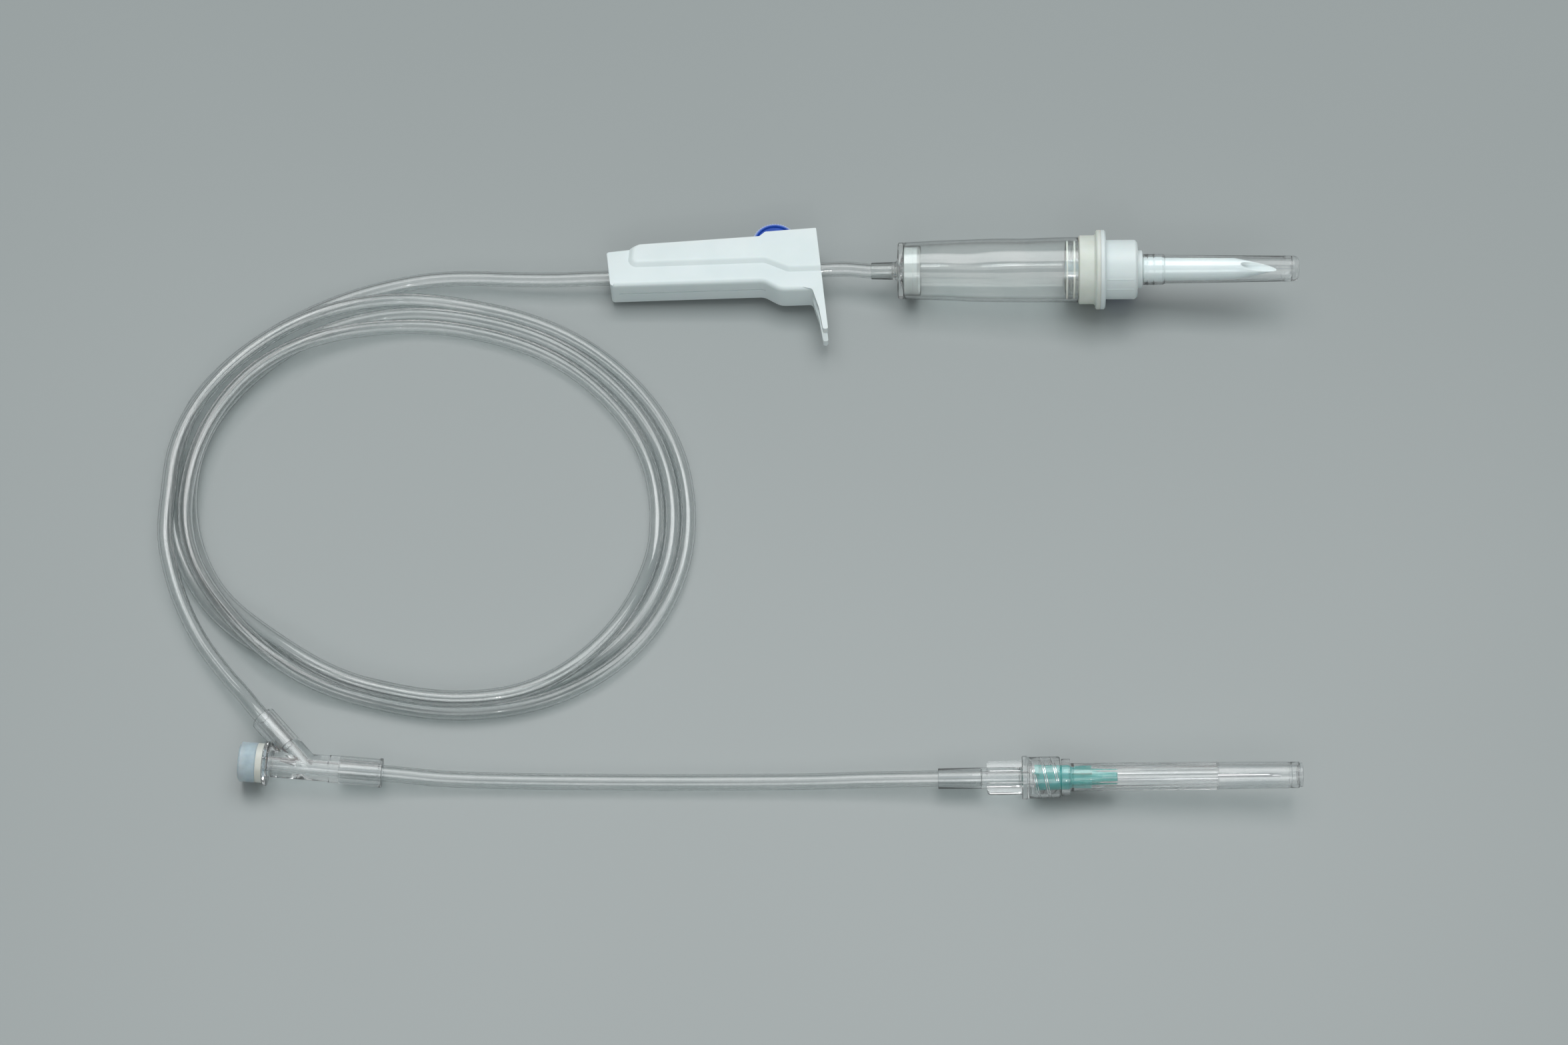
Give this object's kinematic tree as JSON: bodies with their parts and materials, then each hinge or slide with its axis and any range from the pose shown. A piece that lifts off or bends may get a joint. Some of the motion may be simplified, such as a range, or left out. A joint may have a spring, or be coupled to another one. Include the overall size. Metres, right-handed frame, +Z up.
{
  "type": "iv infusion set",
  "caption": "Gravity infusion set: vented spike with cap, drip chamber, roller clamp, coiled clear tubing, Y injection site and capped luer-lock needle, laid flat.",
  "frame": {"origin": "centre of the hard pieces' footprint, on the surface that the set lies on", "axes": "+X along the spike and the needle, towards their points; +Y from the needle's side to the spike's side; +Z up"},
  "size_m": [0.2837, 0.165, 0.0203],
  "materials": {
    "clear_pvc": "soft clear PVC",
    "tube_pvc": "soft clear PVC tubing",
    "clear_rigid": "polished clear moulding",
    "filter_white": "matt white mesh and rim",
    "cream_pe": "satin cream moulding",
    "nozzle_white": "translucent white",
    "white_abs": "semi-gloss white moulding",
    "vent_blue": "dark blue moulding",
    "roller_blue": "blue moulding, knurled rim",
    "port_rubber": "pale translucent rubber",
    "hub_teal": "translucent teal moulding",
    "steel": "polished steel tube"
  },
  "bodies": {
    "set": {"chamber_base": "clear_pvc", "fluid_filter": "filter_white", "drip_chamber": "clear_pvc", "chamber_cap": "cream_pe", "drip_tip": "nozzle_white", "spike": "white_abs", "vent_filter": "filter_white", "upper_tube": "tube_pvc", "tube_coil": "tube_pvc", "tube_to_y_site": "tube_pvc", "lower_tube": "tube_pvc", "y_body": "clear_rigid", "port_cap": "port_rubber", "luer_connector": "clear_rigid"},
    "spike_cap": {"spike_cap": "clear_rigid"},
    "vent_cap": {"vent_cap": "vent_blue"},
    "clamp": {"clamp_housing": "white_abs"},
    "roller": {"roller": "roller_blue"},
    "needle": {"needle_hub": "hub_teal", "cannula": "steel"},
    "needle_cap": {"needle_cap": "clear_rigid"}
  },
  "joints": [
    {"name": "spike_cap_pull", "type": "slide", "parent": "set", "child": "spike_cap", "axis": [0.9979, -0.0338, 0.0554], "range_m": [0, 0.045]},
    {"name": "vent_cap_hinge", "type": "hinge", "parent": "set", "child": "vent_cap", "pos_m": [0.0884, 0.0659, 0.00348], "axis": [-0.0338, -0.9994, 0], "range_deg": [0, 110]},
    {"name": "clamp_slide", "type": "slide", "parent": "set", "child": "clamp", "axis": [0.9994, 0.0184, 0.0299], "range_m": [-0.006, 0.01]},
    {"name": "roller_slide", "type": "slide", "parent": "clamp", "child": "roller", "axis": [-0.9875, -0.1546, -0.0296], "range_m": [0, 0.033], "deforming": ["upper_tube"]},
    {"name": "needle_unlock", "type": "slide", "parent": "set", "child": "needle", "axis": [0.9985, -0.0157, 0.0523], "range_m": [0, 0.012]},
    {"name": "needle_cap_pull", "type": "slide", "parent": "needle", "child": "needle_cap", "axis": [0.9985, -0.0157, 0.0523], "range_m": [0, 0.055]}
  ]
}
